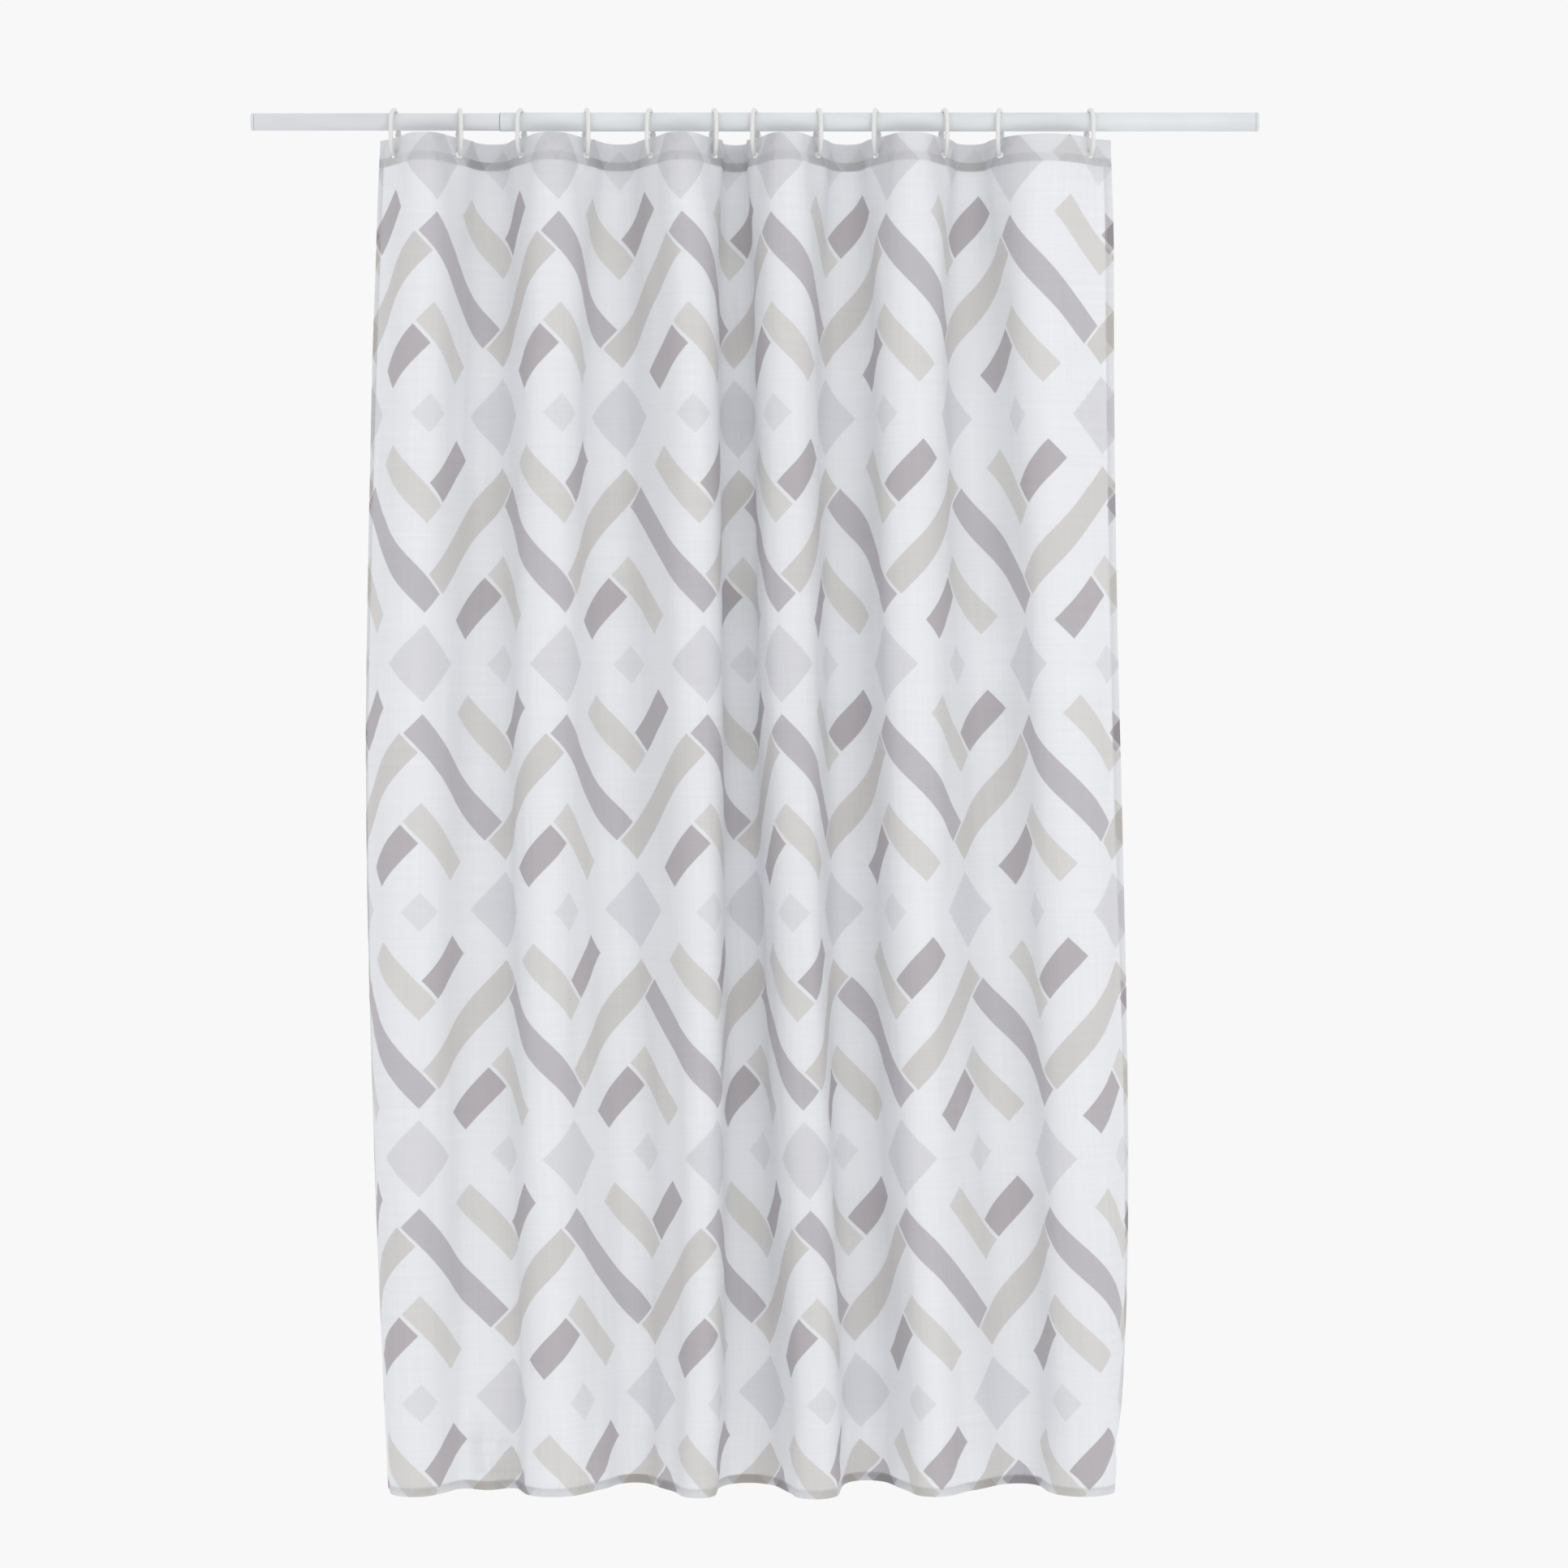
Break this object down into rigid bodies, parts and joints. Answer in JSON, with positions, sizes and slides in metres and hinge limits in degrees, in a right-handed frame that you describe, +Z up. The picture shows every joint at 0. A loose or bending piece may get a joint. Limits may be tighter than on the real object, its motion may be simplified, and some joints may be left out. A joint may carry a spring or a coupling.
{
  "type": "shower curtain",
  "caption": "Printed cloth shower curtain hung by plastic rings from a white telescopic rod that locks by twisting.",
  "frame": {"origin": "centre of the flat face at the rod's right end", "axes": "+X out of that face along the rod, +Z up, -Y towards the viewer of the printed front"},
  "size_m": [1.3374, 0.1344, 1.8402],
  "materials": {
    "rod_paint": "smooth white semi-gloss paint on steel tube",
    "end_rubber": "matt white rubber",
    "lock_plastic": "moulded nylon, unseen inside the rod",
    "ring_plastic": "white moulded plastic, soft gloss",
    "cloth": "fine-woven white polyester, slightly see-through, printed with grey, beige and taupe bars and diamonds",
    "thread": "white sewing thread"
  },
  "bodies": {
    "rod": {"outer_tube": "rod_paint", "right_end_pad": "end_rubber"},
    "inner_rod": {"inner_tube": "rod_paint", "left_end_pad": "end_rubber", "lock_core": "lock_plastic"},
    "lock_cam": {"lock_cam": "lock_plastic"},
    "ring_01": {"ring_01": "ring_plastic"},
    "ring_02": {"ring_02": "ring_plastic"},
    "ring_03": {"ring_03": "ring_plastic"},
    "ring_04": {"ring_04": "ring_plastic"},
    "ring_05": {"ring_05": "ring_plastic"},
    "ring_06": {"ring_06": "ring_plastic"},
    "ring_07": {"ring_07": "ring_plastic"},
    "ring_08": {"ring_08": "ring_plastic"},
    "ring_09": {"ring_09": "ring_plastic"},
    "ring_10": {"ring_10": "ring_plastic"},
    "ring_11": {"ring_11": "ring_plastic"},
    "ring_12": {"ring_12": "ring_plastic"},
    "curtain": {"curtain_panel": "cloth", "top_hem": "cloth", "bottom_hem": "cloth", "left_side_hem": "cloth", "right_side_hem": "cloth", "buttonhole_01": "thread", "buttonhole_02": "thread", "buttonhole_03": "thread", "buttonhole_04": "thread", "buttonhole_05": "thread", "buttonhole_06": "thread", "buttonhole_07": "thread", "buttonhole_08": "thread", "buttonhole_09": "thread", "buttonhole_10": "thread", "buttonhole_11": "thread", "buttonhole_12": "thread"}
  },
  "joints": [
    {"name": "rod_length", "type": "slide", "parent": "rod", "child": "inner_rod", "axis": [-1, 0, 0], "range_m": [-0.137, 0.463]},
    {"name": "lock_cam_turn", "type": "hinge", "parent": "inner_rod", "child": "lock_cam", "pos_m": [-0.40845, 0, -0.001], "axis": [1, 0, 0], "range_deg": [0, 180]},
    {"name": "curtain_shift", "type": "slide", "parent": "rod", "child": "ring_12", "axis": [1, 0, 0], "range_m": [-0.04, 0.17]},
    {"name": "curtain_draw", "type": "slide", "parent": "ring_12", "child": "ring_01", "axis": [1, 0, 0], "range_m": [0, 0.6], "deforming": ["curtain_panel", "top_hem", "bottom_hem", "left_side_hem", "right_side_hem", "buttonhole_01", "buttonhole_02", "buttonhole_03", "buttonhole_04", "buttonhole_05", "buttonhole_06", "buttonhole_07", "buttonhole_08", "buttonhole_09", "buttonhole_10", "buttonhole_11", "buttonhole_12"]},
    {"name": "ring_02_slide", "type": "slide", "parent": "ring_12", "child": "ring_02", "axis": [1, 0, 0], "range_m": [0, 0.54429]},
    {"name": "ring_03_slide", "type": "slide", "parent": "ring_12", "child": "ring_03", "axis": [1, 0, 0], "range_m": [0, 0.49164]},
    {"name": "ring_04_slide", "type": "slide", "parent": "ring_12", "child": "ring_04", "axis": [1, 0, 0], "range_m": [0, 0.43481]},
    {"name": "ring_05_slide", "type": "slide", "parent": "ring_12", "child": "ring_05", "axis": [1, 0, 0], "range_m": [0, 0.38023]},
    {"name": "ring_06_slide", "type": "slide", "parent": "ring_12", "child": "ring_06", "axis": [1, 0, 0], "range_m": [0, 0.32473]},
    {"name": "ring_07_slide", "type": "slide", "parent": "ring_12", "child": "ring_07", "axis": [1, 0, 0], "range_m": [0, 0.28963]},
    {"name": "ring_08_slide", "type": "slide", "parent": "ring_12", "child": "ring_08", "axis": [1, 0, 0], "range_m": [0, 0.23475]},
    {"name": "ring_09_slide", "type": "slide", "parent": "ring_12", "child": "ring_09", "axis": [1, 0, 0], "range_m": [0, 0.18506]},
    {"name": "ring_10_slide", "type": "slide", "parent": "ring_12", "child": "ring_10", "axis": [1, 0, 0], "range_m": [0, 0.12629]},
    {"name": "ring_11_slide", "type": "slide", "parent": "ring_12", "child": "ring_11", "axis": [1, 0, 0], "range_m": [0, 0.07845]},
    {"name": "curtain_swing", "type": "hinge", "parent": "ring_12", "child": "curtain", "pos_m": [-0.2235, 0, -0.0394], "axis": [1, 0, 0], "range_deg": [-12, 12]}
  ],
  "couplings": [
    {"joint": "ring_02_slide", "follows": "curtain_draw", "ratio": 0.90631},
    {"joint": "ring_03_slide", "follows": "curtain_draw", "ratio": 0.81857},
    {"joint": "ring_04_slide", "follows": "curtain_draw", "ratio": 0.72386},
    {"joint": "ring_05_slide", "follows": "curtain_draw", "ratio": 0.63289},
    {"joint": "ring_06_slide", "follows": "curtain_draw", "ratio": 0.54038},
    {"joint": "ring_07_slide", "follows": "curtain_draw", "ratio": 0.48189},
    {"joint": "ring_08_slide", "follows": "curtain_draw", "ratio": 0.39041},
    {"joint": "ring_09_slide", "follows": "curtain_draw", "ratio": 0.3076},
    {"joint": "ring_10_slide", "follows": "curtain_draw", "ratio": 0.20966},
    {"joint": "ring_11_slide", "follows": "curtain_draw", "ratio": 0.12991}
  ]
}
